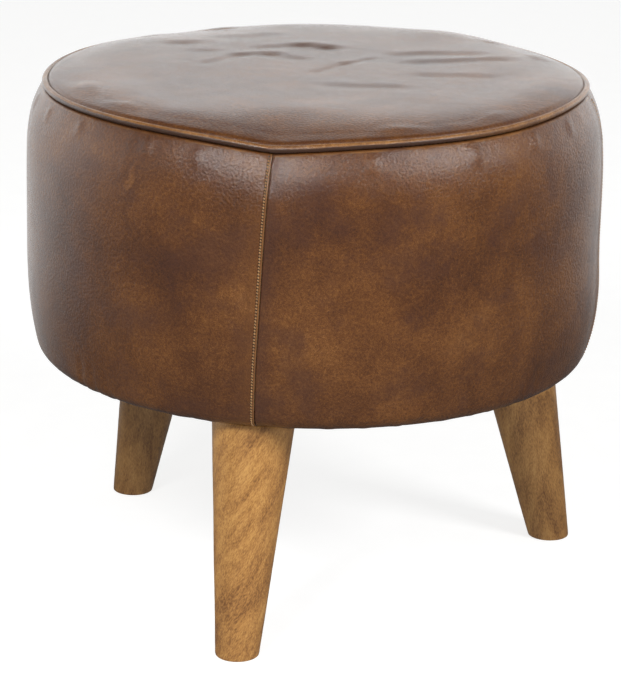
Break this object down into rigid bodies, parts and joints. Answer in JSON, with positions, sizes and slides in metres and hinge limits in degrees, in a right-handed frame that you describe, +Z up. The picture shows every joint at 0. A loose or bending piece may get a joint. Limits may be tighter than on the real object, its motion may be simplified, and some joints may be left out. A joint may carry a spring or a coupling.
{
  "type": "leather footstool",
  "caption": "Round upholstered drum footstool in brown leather with piped top edge, on splayed tapered turned wooden legs that screw off.",
  "frame": {"origin": "on the floor, under the middle of the drum", "axes": "+Z up; leg 1 stands towards -Y; +X to the right when seen from leg 1"},
  "size_m": [0.4618, 0.4629, 0.4132],
  "materials": {
    "cover_leather": "satin",
    "piping_leather": "satin",
    "thread": "matte",
    "cotton_cord": "matte",
    "wadding": "matte",
    "foam": "matte",
    "plywood": "matte",
    "post_wood": "matte",
    "fibreboard": "matte",
    "leg_wood": "satin",
    "plate_steel": "satin",
    "bolt_steel": "satin",
    "screw_steel": "satin",
    "dust_cloth": "matte"
  },
  "bodies": {
    "drum": {"top_panel": "cover_leather", "side_panel_1": "cover_leather", "side_panel_2": "cover_leather", "side_panel_3": "cover_leather", "side_panel_4": "cover_leather", "piping_cover": "piping_leather", "piping_cord": "cotton_cord", "seam_thread_1": "thread", "seam_thread_2": "thread", "seam_thread_3": "thread", "seam_thread_4": "thread", "seat_wadding": "wadding", "seat_foam": "foam", "side_foam": "foam", "top_board": "plywood", "base_board": "plywood", "drum_wall": "fibreboard", "frame_post_1": "post_wood", "frame_post_2": "post_wood", "frame_post_3": "post_wood", "frame_post_4": "post_wood", "frame_post_5": "post_wood", "frame_post_6": "post_wood", "post_screw_top_1": "screw_steel", "post_screw_top_2": "screw_steel", "post_screw_top_3": "screw_steel", "post_screw_top_4": "screw_steel", "post_screw_top_5": "screw_steel", "post_screw_top_6": "screw_steel", "post_screw_base_1": "screw_steel", "post_screw_base_2": "screw_steel", "post_screw_base_3": "screw_steel", "post_screw_base_4": "screw_steel", "post_screw_base_5": "screw_steel", "post_screw_base_6": "screw_steel", "leg_plate_1": "plate_steel", "leg_plate_2": "plate_steel", "leg_plate_3": "plate_steel", "plate_screw_1_1": "screw_steel", "plate_screw_1_2": "screw_steel", "plate_screw_1_3": "screw_steel", "plate_screw_1_4": "screw_steel", "plate_screw_2_1": "screw_steel", "plate_screw_2_2": "screw_steel", "plate_screw_2_3": "screw_steel", "plate_screw_2_4": "screw_steel", "plate_screw_3_1": "screw_steel", "plate_screw_3_2": "screw_steel", "plate_screw_3_3": "screw_steel", "plate_screw_3_4": "screw_steel", "dust_cover": "dust_cloth"},
    "bolt_1": {"hanger_bolt_1": "bolt_steel"},
    "turned_leg_1": {"leg_1": "leg_wood"},
    "bolt_2": {"hanger_bolt_2": "bolt_steel"},
    "turned_leg_2": {"leg_2": "leg_wood"},
    "bolt_3": {"hanger_bolt_3": "bolt_steel"},
    "turned_leg_3": {"leg_3": "leg_wood"}
  },
  "joints": [
    {"name": "leg_1_back_out", "type": "slide", "parent": "drum", "child": "bolt_1", "axis": [0, -0.2164, -0.9763], "range_m": [0, 0.02]},
    {"name": "leg_1_unscrew", "type": "hinge", "parent": "bolt_1", "child": "turned_leg_1", "pos_m": [0, -0.176, 0.1768], "axis": [0, -0.2164, -0.9763], "range_deg": [0, 5760]},
    {"name": "leg_2_back_out", "type": "slide", "parent": "drum", "child": "bolt_2", "axis": [0.1874, 0.1082, -0.9763], "range_m": [0, 0.02]},
    {"name": "leg_2_unscrew", "type": "hinge", "parent": "bolt_2", "child": "turned_leg_2", "pos_m": [0.15242, 0.088, 0.1768], "axis": [0.1874, 0.1082, -0.9763], "range_deg": [0, 5760]},
    {"name": "leg_3_back_out", "type": "slide", "parent": "drum", "child": "bolt_3", "axis": [-0.1874, 0.1082, -0.9763], "range_m": [0, 0.02]},
    {"name": "leg_3_unscrew", "type": "hinge", "parent": "bolt_3", "child": "turned_leg_3", "pos_m": [-0.15242, 0.088, 0.1768], "axis": [-0.1874, 0.1082, -0.9763], "range_deg": [0, 5760]}
  ],
  "couplings": [
    {"joint": "leg_1_back_out", "follows": "leg_1_unscrew", "m_per_rad": 0.00019894},
    {"joint": "leg_2_back_out", "follows": "leg_2_unscrew", "m_per_rad": 0.00019894},
    {"joint": "leg_3_back_out", "follows": "leg_3_unscrew", "m_per_rad": 0.00019894}
  ]
}
